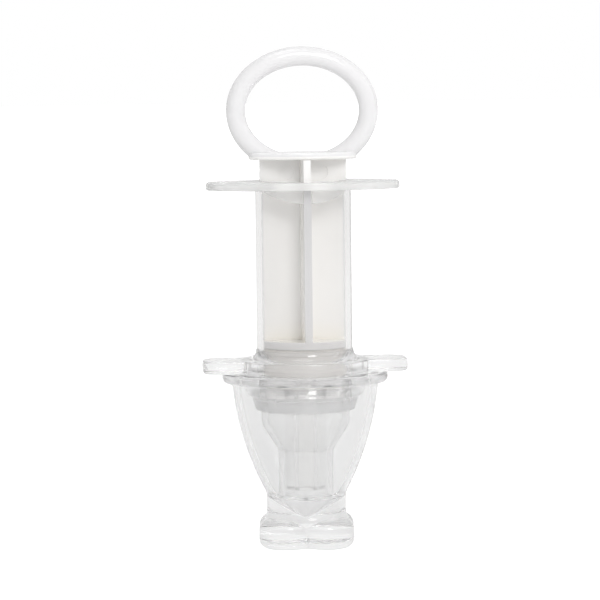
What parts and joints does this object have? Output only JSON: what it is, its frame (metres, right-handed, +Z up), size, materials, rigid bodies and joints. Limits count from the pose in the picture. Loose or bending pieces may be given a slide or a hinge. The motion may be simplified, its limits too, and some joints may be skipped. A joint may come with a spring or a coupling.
{
  "type": "medicine dropper",
  "caption": "Upright baby medicine dropper with a finger-ring plunger in a clear barrel, finger flange, eared shield, soft nipple and clear lobed dust cap.",
  "frame": {"origin": "centre of the underside of the dust cap's foot, on the surface that it stands on", "axes": "+Z up the dropper's axis towards the finger ring, +X along the finger grips and across the ring's hole, +Y through the ring's hole"},
  "size_m": [0.0462, 0.0374, 0.1126],
  "materials": {
    "clear_cap_plastic": "crystal clear, polished",
    "clear_shield_plastic": "crystal clear, polished",
    "translucent_ring_plastic": "translucent, satin",
    "clear_silicone": "translucent silicone, satin",
    "clear_barrel_plastic": "clear, slightly hazy, gloss",
    "milky_flange_plastic": "milky, satin gloss",
    "cream_silicone": "milky silicone, satin",
    "white_plunger_plastic": "white moulded plastic, gloss"
  },
  "bodies": {
    "dust_cap": {"dust_cap": "clear_cap_plastic"},
    "barrel": {"barrel": "clear_barrel_plastic", "finger_flange": "milky_flange_plastic", "shield": "clear_shield_plastic", "clamp_ring": "translucent_ring_plastic", "nipple": "clear_silicone"},
    "plunger": {"plunger": "white_plunger_plastic", "piston_seal": "cream_silicone"}
  },
  "joints": [
    {"name": "cap_lift", "type": "slide", "parent": "dust_cap", "child": "barrel", "axis": [0, 0, 1], "range_m": [0, 0.045]},
    {"name": "plunger_slide", "type": "slide", "parent": "barrel", "child": "plunger", "axis": [0, 0, 1], "range_m": [0, 0.0308]}
  ]
}
